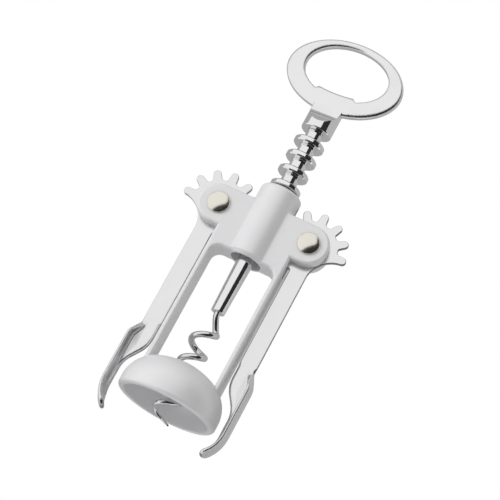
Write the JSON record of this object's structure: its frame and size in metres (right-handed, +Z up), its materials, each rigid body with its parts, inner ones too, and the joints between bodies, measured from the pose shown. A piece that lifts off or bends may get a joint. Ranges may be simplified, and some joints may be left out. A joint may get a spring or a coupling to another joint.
{
  "type": "wing corkscrew",
  "caption": "Wing corkscrew: a bell that sits on the bottle, two geared levers, a rack of rings, a ring handle with a cap lifter and an open helix worm.",
  "frame": {"origin": "centre of the bell's rim, the face that sits on the bottle", "axes": "+Z up the worm's axis to the handle, +X to the right lever, -Y to the front, where the rivets have their domes"},
  "size_m": [0.0732, 0.0428, 0.1895],
  "materials": {
    "casting": "satin",
    "chrome": "polished",
    "levers": "satin",
    "rivets": "polished",
    "worm": "polished"
  },
  "bodies": {
    "frame": {"frame_casting": "casting", "rivet_left": "rivets", "rivet_right": "rivets"},
    "rack": {"rack": "chrome"},
    "handle": {"handle": "chrome", "spindle": "chrome", "worm": "worm"},
    "lever_left": {"lever_left": "levers"},
    "lever_right": {"lever_right": "levers"}
  },
  "joints": [
    {"name": "rack_slide", "type": "slide", "parent": "frame", "child": "rack", "axis": [0, 0, -1], "range_m": [0, 0.0365]},
    {"name": "handle_spin", "type": "hinge", "parent": "rack", "child": "handle", "pos_m": [0, 0, 0.12], "axis": [0, 0, 1], "continuous": true},
    {"name": "lever_right_swing", "type": "hinge", "parent": "frame", "child": "lever_right", "pos_m": [0.0203, 0, 0.0853], "axis": [0, -1, 0], "range_deg": [0, 144]},
    {"name": "lever_left_swing", "type": "hinge", "parent": "frame", "child": "lever_left", "pos_m": [-0.0203, 0, 0.0853], "axis": [0, 1, 0], "range_deg": [0, 144]}
  ],
  "couplings": [
    {"joint": "lever_right_swing", "follows": "rack_slide", "rad_per_m": 68.493},
    {"joint": "lever_left_swing", "follows": "rack_slide", "rad_per_m": 68.493}
  ]
}
